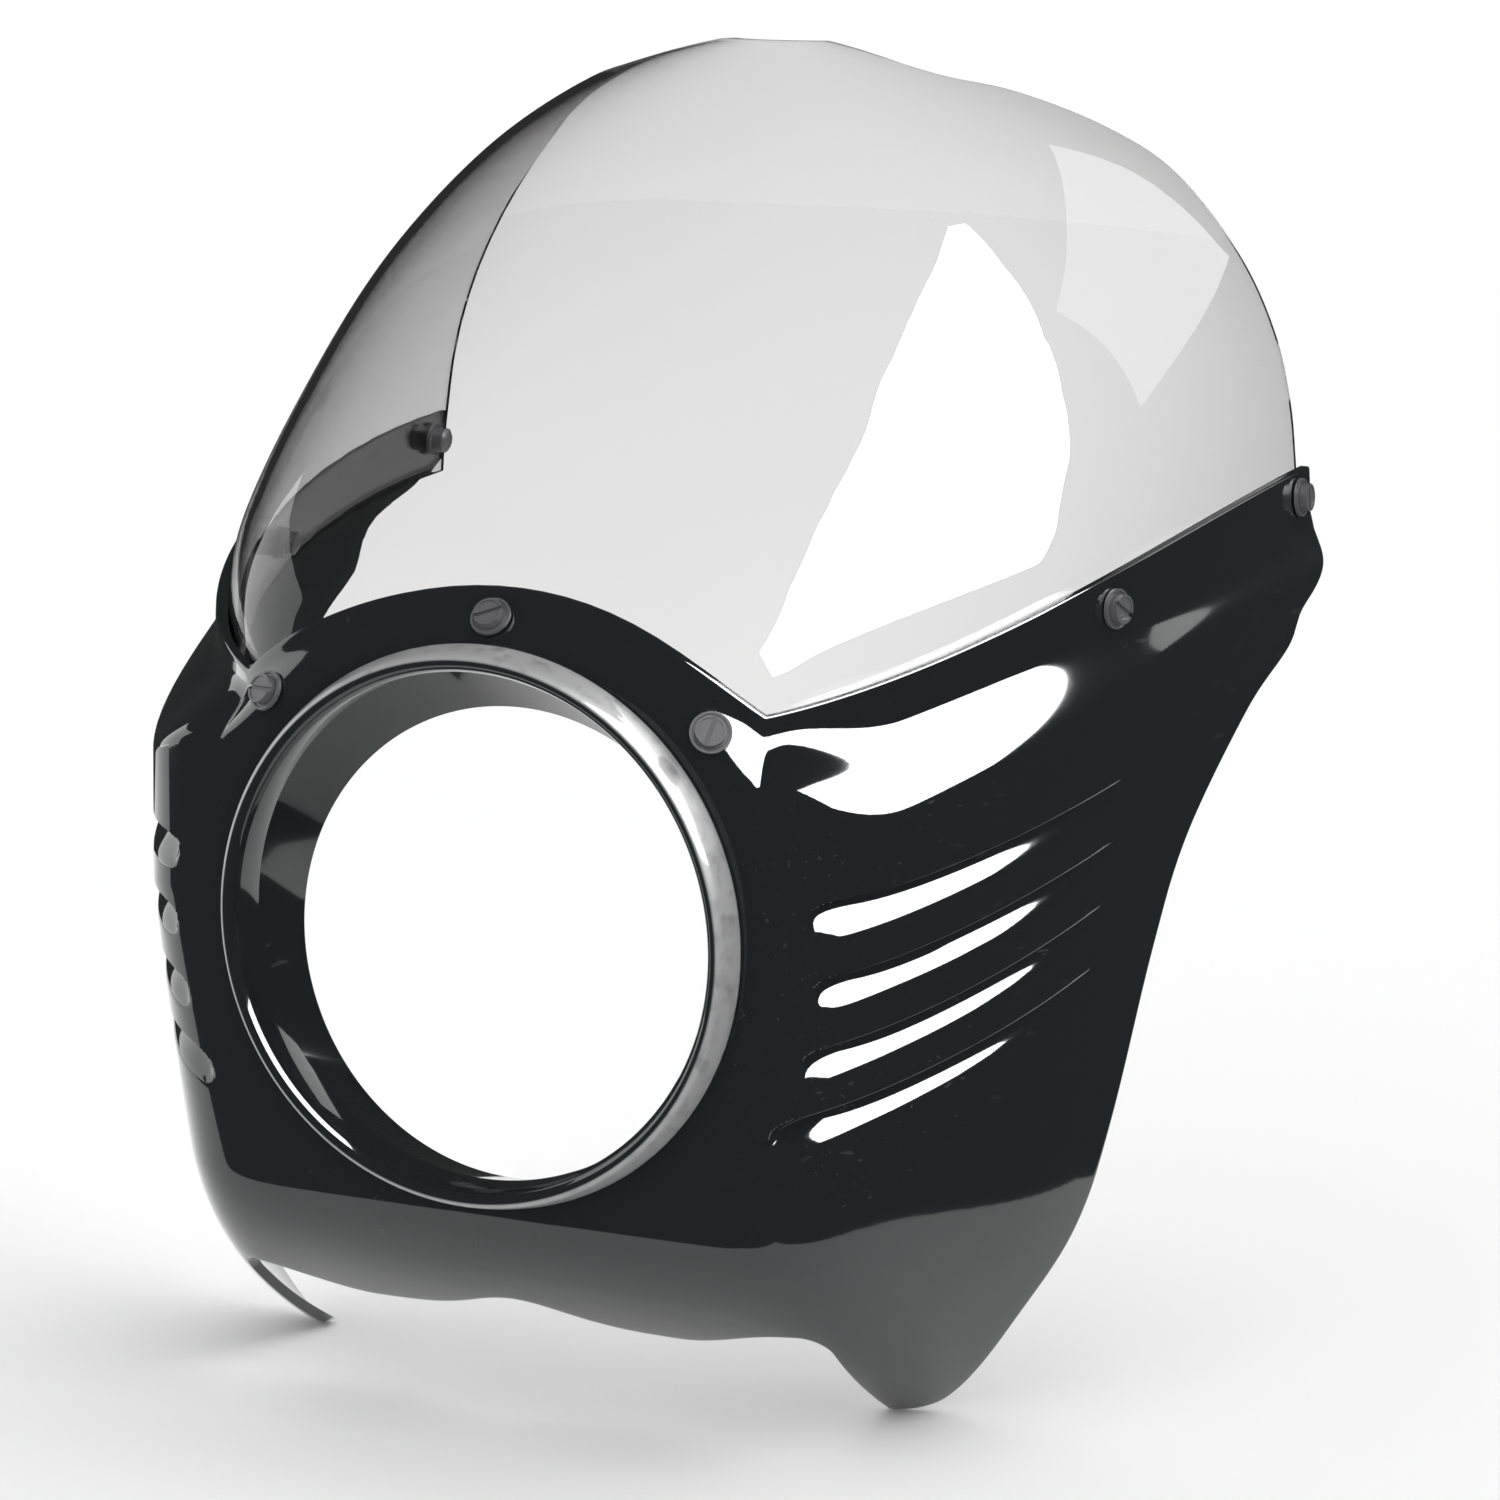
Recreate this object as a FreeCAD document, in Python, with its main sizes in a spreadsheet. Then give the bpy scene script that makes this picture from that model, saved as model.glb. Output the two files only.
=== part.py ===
import FreeCAD, Part
import math
import os
from FreeCAD import Placement, Rotation, Vector

# Motorcycle headlamp fairing: a moulded shell around a round lamp opening, with a clear screen
# fastened behind its upper edge. Origin in the middle of the lamp opening at the bore's front edge,
# X to the right seen from the front, front towards -Y, Z up.

doc = FreeCAD.newDocument("Fairing")
sheet = doc.addObject("Spreadsheet::Sheet", "Sizes")

DRIVING = [
    ("lamp_radius", "90", "bore of the lamp opening"),
    ("bore_depth", "13", "straight length of the bore"),
    ("rim_rise", "4.5", "crest of the rim in front of the bore edge"),
    ("rim_width", "9.3", "foot of the rim around the bore"),
    ("collar_depth", "35", "rear edge of the collar behind the bore edge"),
    ("collar_drop", "11", "how far the collar slopes down to its rear edge"),
    ("collar_taper", "6", "how much smaller the collar's rear edge is"),
    ("face_depth", "8.5", "flat face behind the bore edge"),
    ("wall", "3.5", "wall of the moulded shell"),
    ("wing_length", "328", "rear end of the wings"),
    ("cheek_angle", "59", "turn of the cheek away from the face"),
    ("cheek_offset", "284", "cheek plane from the rear middle"),
    ("shoulder_angle", "76", "turn of the shoulder"),
    ("shoulder_offset", "223", "shoulder plane from the rear middle"),
    ("side_angle", "86", "turn of the wing's side"),
    ("side_offset", "205.5", "side plane from the rear middle"),
    ("arch_rise", "116.4", "top of the arch over the opening"),
    ("arch_radius", "155", "curve of the arch's edge"),
    ("wing_height", "72.5", "height of the wing's upper edge at the front"),
    ("wing_slope", "0.355", "rise of the upper edge per length"),
    ("tip_drop", "185", "lowest point of the lower tips"),
    ("chin_drop", "149", "lower edge of the chin"),
    ("chin_notch", "9.5", "rise of the chin's middle"),
    ("chin_turn", "36", "how far the chin's lower edge turns back"),
    ("tip_turn", "29", "how far the lower tips turn in"),
    ("gill_depth", "8", "deepest cut of a gill"),
    ("gill_height", "18", "height of a gill at its front"),
    ("gill_pitch", "25", "spacing of the gills at the front"),
    ("gill_pitch_rear", "21.9", "spacing of the gills at the rear"),
    ("gill_circle", "130", "circle around the lamp where the gills begin"),
    ("screen_thick", "3", "sheet of the screen"),
    ("screen_gap", "0.8", "clearance between screen and shell"),
    ("screen_top", "296", "upper edge of the screen"),
    ("screen_half", "185.5", "half width of the screen at its widest"),
    ("screen_foot", "26", "screen behind the bore edge at the arch"),
    ("screen_lean", "0.55", "lean of the screen's front at its foot"),
    ("screen_lap", "25", "how far the screen reaches down behind the shell"),
    ("shank_diameter", "5", "screw shank"),
    ("head_diameter", "10.5", "screw head"),
    ("head_height", "3.4", "screw head"),
    ("slot_width", "1.6", "screw slot"),
    ("slot_depth", "1.5", "screw slot"),
    ("washer_diameter", "14.5", "washer"),
    ("washer_height", "1.3", "washer"),
    ("washer_lip", "0.5", "raised rim of the washer"),
    ("nut_diameter", "10", "cap nut"),
    ("nut_height", "8", "cap nut"),
    ("nut_flange", "13", "flange of the cap nut"),
    ("hole_clear", "0.3", "clearance around a shank"),
]
for row, (name, value, note) in enumerate(DRIVING, 1):
    sheet.set("A%d" % row, note)
    sheet.set("B%d" % row, value)
    sheet.setAlias("B%d" % row, name)
doc.recompute()


def size(name):
    return float(sheet.get(name))


LAMP = size("lamp_radius")
WALL = size("wall")
LENGTH = size("wing_length")
TIP = size("tip_drop")
CHIN = size("chin_drop")
ARCH_TOP = size("arch_rise")
SCREEN_THICK = size("screen_thick")
SCREEN_TOP = size("screen_top")

# All skins are measured outward from an upright line in the middle, a little behind the wings
MIDDLE = LENGTH + 7.0


# Small helpers for the free-form skins
def ease(value, low, high):
    part = min(1.0, max(0.0, (value - low) / (high - low)))
    return part * part * (3.0 - 2.0 * part)


def spot(angle, reach, z):
    return Vector(reach * math.sin(angle), MIDDLE - reach * math.cos(angle), z)


# A skin moved outward, or inward if negative, by a thickness measured square to it
def moved(reach, thickness):
    def skin(angle, z):
        here = reach(angle, z)
        turn = (reach(angle + 0.004, z) - reach(angle - 0.004, z)) / 0.008 / here
        lean = (reach(angle, z + 1.0) - reach(angle, z - 1.0)) / 2.0
        lean = max(-3.0, min(3.0, lean))
        return here + thickness * math.sqrt(1.0 + turn * turn + lean * lean)
    return skin


# Windscreen: level sections are half superellipses that close towards the top, and a front
# that leans back and flattens them near the arch
def screen_reach(angle, z):
    up = z - ARCH_TOP
    front = size("screen_foot") + size("screen_lean") * up + 0.00345 * max(0.0, up) ** 2
    round_front = -7.0 + (front + 7.0) * ease(up, -31.0, 69.0)
    share = min(0.999, max(0.0, (up + 6.4) / (SCREEN_TOP - ARCH_TOP + 10.9)))
    half = (size("screen_half") + 2.0 * ease(up, 24.0, 64.0)) * (1.0 - share ** 2.2) ** (1.0 / 2.2)
    power = 2.45 - 0.08 * ease(up, 0.0, 44.0)
    across = abs(math.sin(angle)) / half
    along = abs(math.cos(angle)) / (MIDDLE - round_front)
    section = (across ** power + along ** power) ** (1.0 / power)
    flat = max(0.0, math.cos(angle)) / (MIDDLE - front)
    blend = 30.0 - 16.0 * ease(up, 2.0, 54.0)
    fade = 1.0 - ease(up, 20.0, 69.0)
    return (section ** blend + fade * flat ** blend) ** (-1.0 / blend)


# Shell below the upper edge: flat face, cheek, shoulder and side run into each other
def cheek_reach(angle, z):
    low = max(0.0, -z)
    turn = size("tip_turn") * (max(0.0, low - 95.0) / (TIP - 95.0)) ** 2
    chin = size("chin_turn") * (max(0.0, low - LAMP - 10.0) / (CHIN - LAMP - 12.0)) ** 1.7
    planes = [
        (0.0, MIDDLE - size("face_depth") - chin),
        (size("cheek_angle"), size("cheek_offset") - 0.165 * low - turn),
        (size("shoulder_angle"), size("shoulder_offset") + 0.02 * low - turn),
        (size("side_angle"), size("side_offset") - turn),
    ]
    total = 0.0
    for degrees, offset in planes:
        facing = math.cos(abs(angle) - math.radians(degrees))
        total += (max(0.0, facing) / offset) ** 30
    return total ** (-1.0 / 30)


def arch_height(x):
    radius = size("arch_radius")
    return ARCH_TOP - radius + math.sqrt(max(1.0, radius ** 2 - x * x))


def wing_height(y):
    return size("wing_height") + size("wing_slope") * y - 0.00047 * y * y


# Near its upper edge the shell turns in to a flange that lies along the windscreen
flange_reach = moved(screen_reach, WALL + size("screen_gap"))


def shell_reach(angle, z):
    cheek = cheek_reach(angle, z)
    flange = flange_reach(angle, min(z, ARCH_TOP + 34.0))
    point = spot(angle, flange, z)
    edge = wing_height(point.y)
    if point.y < LENGTH / 3.0:
        edge = max(edge, arch_height(point.x))
    rear = ease(point.y, 60.0, 160.0)
    share = ease(edge - z, 6.0 + 10.0 * rear, 26.0 + 18.0 * rear)
    return flange + share * (cheek - flange)


# A solid bowl: the skin in front, a flat back, a flat top and a flat bottom
def bowl(reach, bottom, top, levels, stations):
    rows = []
    for level in range(levels + 1):
        z = bottom + (top - bottom) * level / levels
        row = []
        for step in range(-stations, stations + 1):
            share = step / stations
            angle = math.pi / 2.0 * (0.55 * share + 0.45 * share ** 3)
            row.append(spot(angle, reach(angle, z), z))
        rows.append(row)
    surface = Part.BSplineSurface()
    surface.interpolate(rows)
    skin = surface.toShape()
    sides = []
    ends = []
    for edge in skin.Edges:
        if edge.BoundBox.ZLength > 1.0:
            sides.append(edge)
        else:
            ends.append(edge)
    lines = []
    caps = []
    for edge in ends:
        line = Part.makeLine(edge.firstVertex().Point, edge.lastVertex().Point)
        lines.append(line)
        caps.append(Part.Face(Part.Wire([edge, line])))
    back = Part.Face(Part.Wire(Part.__sortEdges__(sides + lines)))
    closed = Part.makeShell([skin, back] + caps)
    closed.sewShape()
    solid = Part.makeSolid(closed)
    if solid.Volume < 0:
        solid.reverse()
    return solid


def feature(name, shape):
    made = doc.addObject("Part::Feature", name)
    made.Shape = shape
    return made


def joined(kind, name, base, tool):
    made = doc.addObject(kind, name)
    made.Base = base
    made.Tool = tool
    return made


def grouped(name, shapes):
    made = doc.addObject("Part::MultiFuse", name)
    made.Shapes = shapes
    return made


def curve(points):
    spline = Part.BSplineCurve()
    spline.interpolate([Vector(*point) for point in points])
    return spline.toShape()


def line(start, end):
    return Part.makeLine(Vector(*start), Vector(*end))


# A flat outline pushed through the whole part on both sides of its plane
def prism(name, edges, direction, length):
    outline = feature(name + "Outline", Part.Face(Part.Wire(edges)))
    made = doc.addObject("Part::Extrusion", name)
    made.Base = outline
    made.DirMode = "Custom"
    made.Dir = direction
    made.Symmetric = True
    made.Solid = True
    made.setExpression("LengthFwd", length)
    return made


# Gills: scoops with a sharp upper edge that rise to the skin below and run out to the rear
def found(reach, z, goal):
    low = 0.0
    high = math.pi / 2.0
    for turn in range(50):
        middle = (low + high) / 2.0
        if goal(spot(middle, reach(middle, z), z)):
            high = middle
        else:
            low = middle
    return low


def gill(number, grow):
    front_z = 21.0 - size("gill_pitch") * number
    rear_z = 46.5 - size("gill_pitch_rear") * number
    across = math.sqrt(size("gill_circle") ** 2 - front_z ** 2)
    first = found(shell_reach, front_z, lambda point: point.x > across)
    last = found(shell_reach, rear_z, lambda point: point.y > 0.46 * LENGTH - 6.0 * number)

    def path(share):
        angle = first + (last - first) * share
        z = front_z + (rear_z - front_z) * share
        return spot(angle, shell_reach(angle, z), z)

    # Each section: place along the gill, share of its depth, share of its height
    stations = [
        (-0.05 - grow / 120.0, 0.0, 0.6),
        (-0.02, 0.6, 0.85),
        (0.04, 1.0, 1.0),
        (0.3, 0.85, 0.95),
        (0.6, 0.55, 0.8),
        (0.85, 0.25, 0.6),
        (1.02 + grow / 120.0, 0.0, 0.5),
    ]
    wires = []
    for share, deep, tall in stations:
        here = path(share)
        along = (path(share + 0.02) - path(share - 0.02)).normalize()
        outward = Vector(here.x, here.y - MIDDLE, 0.0)
        down = along.cross(outward).normalize()
        if down.z > 0:
            down = down.negative()
        outward = down.cross(along).normalize()
        if outward.x < 0:
            outward = outward.negative()
        depth = size("gill_depth") * deep + grow
        height = size("gill_height") * tall + 2.0 * grow
        level = 0.0
        if deep == 0.0:
            depth = 0.4
            level = 0.9

        def corner(out, below):
            return here + outward * (level + out) + down * (below - grow)

        scoop = Part.BSplineCurve()
        scoop.interpolate([
            corner(0.0, 0.0),
            corner(-0.8 * depth, 0.16 * height),
            corner(-depth, 0.36 * height),
            corner(-0.5 * depth, 0.7 * height),
            corner(0.0, height),
        ])
        wires.append(Part.Wire([
            scoop.toShape(),
            Part.makeLine(corner(0.0, height), corner(7.0, height)),
            Part.makeLine(corner(7.0, height), corner(7.0, 0.0)),
            Part.makeLine(corner(7.0, 0.0), corner(0.0, 0.0)),
        ]))
    return Part.makeLoft(wires, True, False)


def gills(grow):
    cutters = []
    for number in range(4):
        cutter = gill(number, grow)
        cutters.append(cutter)
        cutters.append(cutter.mirror(Vector(0, 0, 0), Vector(1, 0, 0)))
    return Part.makeCompound(cutters)


# The shell: the outer bowl with its gills, hollowed by an inner bowl that follows them
inner_reach = moved(shell_reach, -WALL)
outer_bowl = feature("OuterBowl", bowl(shell_reach, -TIP - 12.0, ARCH_TOP + 28.0, 36, 30))
inner_bowl = feature("InnerBowl", bowl(inner_reach, -TIP - 18.0, ARCH_TOP + 34.0, 36, 30))
outer_skin = joined("Part::Cut", "GilledOutside", outer_bowl, feature("Gills", gills(0.0)))
inner_skin = joined("Part::Cut", "GilledInside", inner_bowl, feature("GillBacks", gills(WALL)))
hollow = joined("Part::Cut", "Hollow", outer_skin, inner_skin)

# Outline seen from the side: lower tip, rear edge and the rising upper edge of the wing
rear_edge = [
    (0.0, 0.265 * LENGTH, -TIP),
    (0.0, 0.305 * LENGTH, -0.997 * TIP),
    (0.0, 0.34 * LENGTH, -0.982 * TIP),
    (0.0, 0.353 * LENGTH, -0.94 * TIP),
    (0.0, 0.362 * LENGTH, -0.78 * TIP),
    (0.0, 0.4 * LENGTH, -0.62 * TIP),
    (0.0, 0.454 * LENGTH, -0.4 * TIP),
    (0.0, 0.525 * LENGTH, -0.108 * TIP),
    (0.0, 0.598 * LENGTH, 0.108 * TIP),
    (0.0, 0.728 * LENGTH, 0.313 * TIP),
    (0.0, 0.835 * LENGTH, 0.415 * TIP),
    (0.0, 0.872 * LENGTH, 0.485 * TIP),
    (0.0, 0.965 * LENGTH, 0.565 * TIP),
    (0.0, LENGTH, 0.64 * TIP),
]
top_edge = []
for share in (1.0, 0.75, 0.5, 0.25, 0.0):
    reach_back = LENGTH * share - 10.0 * (1.0 - share)
    top_edge.append((0.0, reach_back, wing_height(reach_back)))
side = prism("SideTrim", [
    line((0.0, -10.0, -TIP), rear_edge[0]),
    curve(rear_edge),
    line(rear_edge[-1], top_edge[0]),
    curve(top_edge),
    line(top_edge[-1], (0.0, -10.0, -TIP)),
], Vector(1, 0, 0), "Sizes.side_offset * 2 + 60")

# Outline of the arch over the lamp, seen from the front
arch_foot = ARCH_TOP - 59.0
arch_half = math.sqrt(size("arch_radius") ** 2 - (arch_foot - ARCH_TOP + size("arch_radius")) ** 2)
arch = prism("ArchTrim", [
    Part.Arc(
        Vector(-arch_half, 0, arch_foot),
        Vector(0, 0, ARCH_TOP),
        Vector(arch_half, 0, arch_foot),
    ).toShape(),
    line((arch_half, 0, arch_foot), (-arch_half, 0, arch_foot)),
], Vector(0, 1, 0), "Sizes.lamp_radius * 4 / 3")

# Lower edge seen from the front: the notch in the chin, a lobe on each side, and the front
# edges of the tips
def chin_edge(x):
    across = abs(x) / CHIN
    notch = size("chin_notch") * math.exp(-(across / 0.17) ** 2)
    outer = 0.06 * CHIN * ease(across, 0.4, 0.7)
    return notch + outer - CHIN


chin_half = 0.72 * CHIN
tip_half = 0.777 * CHIN
lower_edge = []
for step in range(-12, 13):
    lower_edge.append((chin_half * step / 12.0, 0.0, chin_edge(chin_half * step / 12.0)))
foot = -TIP - 20.0
chin = prism("ChinTrim", [
    curve(lower_edge),
    Part.Arc(
        Vector(*lower_edge[-1]),
        Vector(tip_half - 2.0, 0, chin_edge(chin_half) - 2.5),
        Vector(tip_half, 0, chin_edge(chin_half) - 9.0),
    ).toShape(),
    line((tip_half, 0, chin_edge(chin_half) - 9.0), (tip_half, 0, foot)),
    line((tip_half, 0, foot), (-tip_half, 0, foot)),
    line((-tip_half, 0, foot), (-tip_half, 0, chin_edge(chin_half) - 9.0)),
    Part.Arc(
        Vector(-tip_half, 0, chin_edge(chin_half) - 9.0),
        Vector(2.0 - tip_half, 0, chin_edge(chin_half) - 2.5),
        Vector(*lower_edge[0]),
    ).toShape(),
], Vector(0, 1, 0), "Sizes.wing_length")
trimmed = joined("Part::Common", "Trimmed", hollow, grouped("Outline", [side, arch]))
chinned = joined("Part::Cut", "Chinned", trimmed, chin)

# Lamp opening: a rounded rim standing in front of the face, a short bore and a sloping collar
foot_radius = LAMP + size("rim_width")
face = size("face_depth")
rise = size("rim_rise")
bore = size("bore_depth")
rim_front = [
    (LAMP, 0.0, 0.0),
    (LAMP + 0.16 * size("rim_width"), -0.66 * rise, 0.0),
    (LAMP + 0.42 * size("rim_width"), -rise, 0.0),
    (LAMP + 0.66 * size("rim_width"), -0.66 * rise, 0.0),
    (LAMP + 0.82 * size("rim_width"), 0.2 * face, 0.0),
    (LAMP + 0.93 * size("rim_width"), 0.75 * face, 0.0),
    (foot_radius, bore, 0.0),
]
profile = feature("RimProfile", Part.Face(Part.Wire([
    curve(rim_front),
    line(rim_front[-1], (LAMP, bore, 0.0)),
    line((LAMP, bore, 0.0), rim_front[0]),
])))
rim = doc.addObject("Part::Revolution", "LampRim")
rim.Source = profile
rim.Axis = Vector(0, 1, 0)
rim.Base = Vector(0, 0, 0)
rim.Angle = 360.0
rim.Solid = True


def collar_cone(name, extra):
    front = Part.Circle(Vector(0, bore, 0), Vector(0, 1, 0), LAMP + extra)
    rear_middle = Vector(0, size("collar_depth"), -size("collar_drop"))
    rear = Part.Circle(rear_middle, Vector(0, 1, 0), LAMP - size("collar_taper") + extra)
    wires = [Part.Wire([front.toShape()]), Part.Wire([rear.toShape()])]
    return feature(name, Part.makeLoft(wires, True, True))


collar = joined("Part::Cut", "Collar", collar_cone("CollarOutside", WALL), collar_cone("CollarInside", 0.0))
opening = doc.addObject("Part::Cylinder", "LampOpening")
opening.setExpression("Radius", "Sizes.lamp_radius + Sizes.rim_width * 0.8")
opening.setExpression("Height", "Sizes.lamp_radius")
opening.Placement = Placement(Vector(0, -LAMP / 2.0, 0), Rotation(Vector(1, 0, 0), -90))
opened = joined("Part::Cut", "Opened", chinned, opening)
moulding = grouped("Moulding", [opened, rim, collar])

# Windscreen: a formed sheet trimmed by its top and trailing edge, with its foot behind the shell
screen_inside = moved(screen_reach, -SCREEN_THICK)
screen_outer = feature("ScreenOutside", bowl(screen_reach, 40.0, SCREEN_TOP, 40, 30))
screen_inner = feature("ScreenInside", bowl(screen_inside, 30.0, SCREEN_TOP + 1.0, 40, 30))
sheet_form = joined("Part::Cut", "ScreenSheet", screen_outer, screen_inner)
height = SCREEN_TOP - ARCH_TOP
trailing = [
    (0.0, 0.738 * LENGTH, SCREEN_TOP),
    (0.0, 0.76 * LENGTH, ARCH_TOP + 0.94 * height),
    (0.0, 0.82 * LENGTH, ARCH_TOP + 0.905 * height),
    (0.0, 0.9 * LENGTH, ARCH_TOP + 0.826 * height),
    (0.0, 0.955 * LENGTH, ARCH_TOP + 0.735 * height),
    (0.0, 0.984 * LENGTH, ARCH_TOP + 0.55 * height),
    (0.0, 0.994 * LENGTH, ARCH_TOP + 0.34 * height),
    (0.0, 0.993 * LENGTH, ARCH_TOP),
]
foot_edge = []
for share in (1.0, 0.66, 0.33, 0.0):
    reach_back = trailing[-1][1] * share
    foot_edge.append((0.0, reach_back, wing_height(reach_back) - size("screen_lap")))
screen_side = prism("ScreenTrim", [
    line((0.0, 0.0, SCREEN_TOP), trailing[0]),
    curve(trailing),
    line(trailing[-1], foot_edge[0]),
    curve(foot_edge),
    line(foot_edge[-1], (0.0, 0.0, SCREEN_TOP)),
], Vector(1, 0, 0), "Sizes.screen_half * 2 + 60")
# Where the fasteners sit, each square to the shell's skin
seats = []
for z, goal in (
    (LAMP + 16.3, None),
    (LAMP - 15.0, lambda point: point.x > LAMP - 5.0),
    (wing_height(0.48 * LENGTH) - 12.0, lambda point: point.y > 0.48 * LENGTH),
    (wing_height(0.957 * LENGTH) - 9.5, lambda point: point.y > 0.957 * LENGTH),
):
    if goal is None:
        seats.append((0.0, z))
    else:
        angle = found(shell_reach, z, goal)
        seats.append((angle, z))
        seats.append((-angle, z))

def shell_spot(angle, z):
    return spot(angle, shell_reach(angle, z), z)


# How far the shell's skin stands above a washer's seat, measured on the made skin around the rim
skins = [face for face in outer_bowl.Shape.Faces if face.Surface.TypeId == "Part::GeomBSplineSurface"]


def lift(turned, outward):
    highest = 0.0
    span = size("washer_diameter") / 2.0
    for turn in range(24):
        around = turn * math.pi / 12.0
        point = turned.multVec(Vector(span * math.cos(around), span * math.sin(around), 0.0))
        probe = Part.makeLine(point + outward * 3.0, point - outward * 3.0)
        reached = skins[0].distToShape(probe)[1][0][0]
        highest = max(highest, (reached - point).dot(outward))
    return highest + 0.1


# How deep the screen's inner face lies under a point, along the seat's axis
def depth_under(point, outward):
    deepest = 0.0
    for step in range(300):
        deeper = point - outward * (step * 0.05)
        across = math.atan2(deeper.x, MIDDLE - deeper.y)
        if math.hypot(deeper.x, MIDDLE - deeper.y) > screen_inside(across, deeper.z):
            deepest = step * 0.05
    return deepest


stations = []
for angle, z in seats:
    here = shell_spot(angle, z)
    aside = shell_spot(angle + 0.01, z) - shell_spot(angle - 0.01, z)
    above = shell_spot(angle, z + 1.0) - shell_spot(angle, z - 1.0)
    outward = aside.cross(above).normalize()
    turned = Placement(here, Rotation(Vector(0, 0, 1), outward))
    here = here + outward * lift(turned, outward)
    turned = Placement(here, Rotation(Vector(0, 0, 1), outward))
    grip = depth_under(here, outward)
    for turn in range(8):
        around = turn * math.pi / 4.0
        span = size("nut_flange") / 2.0
        beside = turned.multVec(Vector(span * math.cos(around), span * math.sin(around), 0.0))
        grip = max(grip, depth_under(beside, outward))
    stations.append((turned, grip + 0.1))

# The screen's foot ends above the lamp in a curve along the arch, with an ear around each screw there
foot_curve = doc.addObject("Part::Cylinder", "FootCurve")
foot_curve.setExpression("Radius", "Sizes.arch_radius - 15")
foot_curve.setExpression("Height", "Sizes.lamp_radius")
foot_curve.Placement = Placement(
    Vector(0, -LAMP / 2.0, ARCH_TOP - size("arch_radius")),
    Rotation(Vector(1, 0, 0), -90),
)
ears = []
for turned, grip in stations[:3]:
    ear = Part.makeCylinder(0.72 * size("nut_flange"), 80.0, Vector(0, 0, -40.0))
    ear.Placement = turned
    ears.append(ear)
foot_cut = joined("Part::Cut", "FootCut", foot_curve, feature("Ears", Part.makeCompound(ears)))
sheet_cut = joined("Part::Common", "ScreenTrimmed", sheet_form, screen_side)
screen_blank = joined("Part::Cut", "ScreenBlank", sheet_cut, foot_cut)

# Holes for the shanks through shell and screen
drill = doc.addObject("Part::Cylinder", "Drill")
drill.setExpression("Radius", "Sizes.shank_diameter / 2 + Sizes.hole_clear")
drill.Height = 40.0
drill.Placement = Placement(Vector(0, 0, -20.0), Rotation())
doc.recompute()
drills = []
for station, grip in stations:
    bit = drill.Shape.copy()
    bit.Placement = station.multiply(bit.Placement)
    drills.append(bit)
holes = feature("Holes", Part.makeCompound(drills))
fairing_body = joined("Part::Cut", "fairing_body", moulding, holes)
windscreen = joined("Part::Cut", "windscreen", screen_blank, holes)


# Fasteners, drawn once with their axis upright and the shell's skin at height nought
def cylinder(name, radius, height, base):
    made = doc.addObject("Part::Cylinder", name)
    made.setExpression("Radius", radius)
    made.setExpression("Height", height)
    made.setExpression("Placement.Base.z", base)
    return made


seat = "Sizes.washer_height - Sizes.washer_lip"
washer_disc = cylinder("WasherDisc", "Sizes.washer_diameter / 2", "Sizes.washer_height", "0")
washer_dish = cylinder("WasherDish", "Sizes.washer_diameter / 2 - 0.9", "Sizes.washer_height", seat)
washer_hole = cylinder("WasherHole", "Sizes.shank_diameter / 2 + Sizes.hole_clear", "10", "-5")
washer = joined("Part::Cut", "Washer", washer_disc, grouped("WasherInside", [washer_dish, washer_hole]))

head = cylinder("ScrewHead", "Sizes.head_diameter / 2", "Sizes.head_height", seat)
head_dish = cylinder("HeadDish", "Sizes.head_diameter / 2 - 0.8", "1", seat + " + Sizes.head_height - 0.4")
slot = doc.addObject("Part::Box", "ScrewSlot")
slot.setExpression("Length", "Sizes.head_diameter + 2")
slot.setExpression("Width", "Sizes.slot_width")
slot.setExpression("Height", "Sizes.slot_depth + 1")
slot.setExpression("Placement.Base.x", "-Sizes.head_diameter / 2 - 1")
slot.setExpression("Placement.Base.y", "-Sizes.slot_width / 2")
slot.setExpression("Placement.Base.z", seat + " + Sizes.head_height - Sizes.slot_depth")
screw_top = joined("Part::Cut", "ScrewTop", head, grouped("HeadCuts", [head_dish, slot]))

nut_cap = cylinder("NutCap", "Sizes.nut_diameter / 2", "Sizes.nut_height", "-Sizes.nut_height")
nut_ball = doc.addObject("Part::Sphere", "NutDome")
nut_ball.setExpression("Radius", "Sizes.nut_height * 0.95")
nut_ball.setExpression("Placement.Base.z", "-Sizes.nut_height * 0.05")
nut_body = joined("Part::Common", "NutBody", nut_cap, nut_ball)
nut_foot = cylinder("NutFlange", "Sizes.nut_flange / 2", "Sizes.nut_height / 5", "-Sizes.nut_height / 5")
nut_bore = cylinder("NutBore", "Sizes.shank_diameter / 2 + 0.1", "Sizes.nut_height", "-Sizes.nut_height * 0.75")
nut = joined("Part::Cut", "Nut", grouped("NutOutside", [nut_body, nut_foot]), nut_bore)
doc.recompute()

washers = []
screws = []
nuts = []
for number, (station, grip) in enumerate(stations):
    ring = washer.Shape.copy()
    ring.Placement = station
    washers.append(ring)
    reach_in = grip + 0.7 * size("nut_height")
    under_head = size("washer_height") - size("washer_lip")
    shank = Part.makeCylinder(size("shank_diameter") / 2.0, reach_in + under_head, Vector(0, 0, -reach_in))
    screw = screw_top.Shape.fuse(shank)
    screw.Placement = station.multiply(Placement(Vector(0, 0, 0), Rotation(Vector(0, 0, 1), 25 + 67 * number)))
    screws.append(screw)
    cap = nut.Shape.copy()
    cap.Placement = station.multiply(Placement(Vector(0, 0, -grip), Rotation()))
    nuts.append(cap)
screen_washers = feature("screen_washers", Part.makeCompound(washers))
screen_screws = feature("screen_screws", Part.makeCompound(screws))
screen_nuts = feature("screen_nuts", Part.makeCompound(nuts))
doc.recompute()

# Checking and writing
for made in doc.Objects:
    for state in made.State:
        if state in ("Invalid", "Error"):
            raise RuntimeError(made.Label + " did not recompute")

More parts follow.
